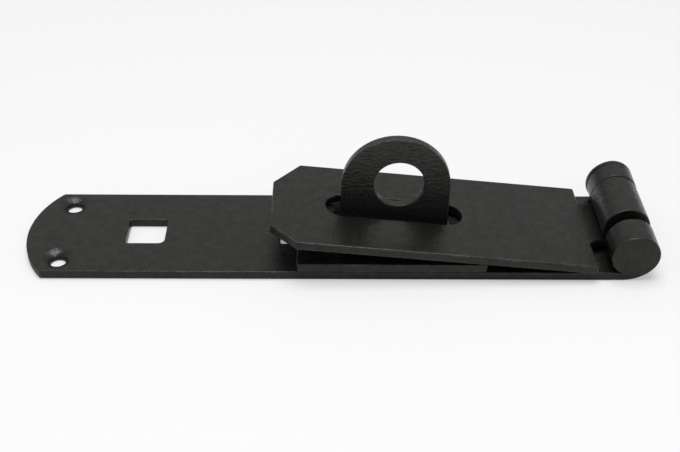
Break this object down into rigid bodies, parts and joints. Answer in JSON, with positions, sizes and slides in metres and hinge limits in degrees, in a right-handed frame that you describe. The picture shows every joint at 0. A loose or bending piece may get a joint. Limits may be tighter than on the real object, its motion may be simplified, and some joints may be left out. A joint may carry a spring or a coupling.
{
  "type": "hasp",
  "caption": "Heavy painted steel strap hasp with a rolled pin hinge and a slotted arm, closed over a loose staple plate with an upright padlock eye",
  "frame": {"origin": "middle of the closed hasp's overall length and of the base leaf's width, on the mounting surface under the base leaf", "axes": "+X along the strap towards the hinge, +Y across it to the side of the short knuckle, +Z away from the mounting surface"},
  "size_m": [0.2004, 0.0432, 0.0395],
  "materials": {
    "leaf_paint": "satin black paint over 3 mm mild steel strip, slightly rippled",
    "pin_paint": "satin black paint over steel, welded and dressed ends",
    "arm_paint": "satin black paint over 3 mm mild steel strip, slightly rippled",
    "staple_plate_paint": "satin black paint over mild steel",
    "staple_eye_paint": "satin black paint over mild steel, thick and wrinkled round the foot"
  },
  "bodies": {
    "base": {"base_leaf": "leaf_paint", "hinge_pin": "pin_paint"},
    "arm": {"hasp_arm": "arm_paint"},
    "staple": {"staple_plate": "staple_plate_paint", "staple_eye": "staple_eye_paint"}
  },
  "joints": [
    {"name": "arm_hinge", "type": "hinge", "parent": "base", "child": "arm", "pos_m": [0.09265, 0, 0.0094], "axis": [0, 1, 0], "range_deg": [0, 180]},
    {"name": "staple_play", "type": "slide", "parent": "base", "child": "staple", "axis": [1, 0, 0], "range_m": [-0.003, 0.0025]}
  ]
}
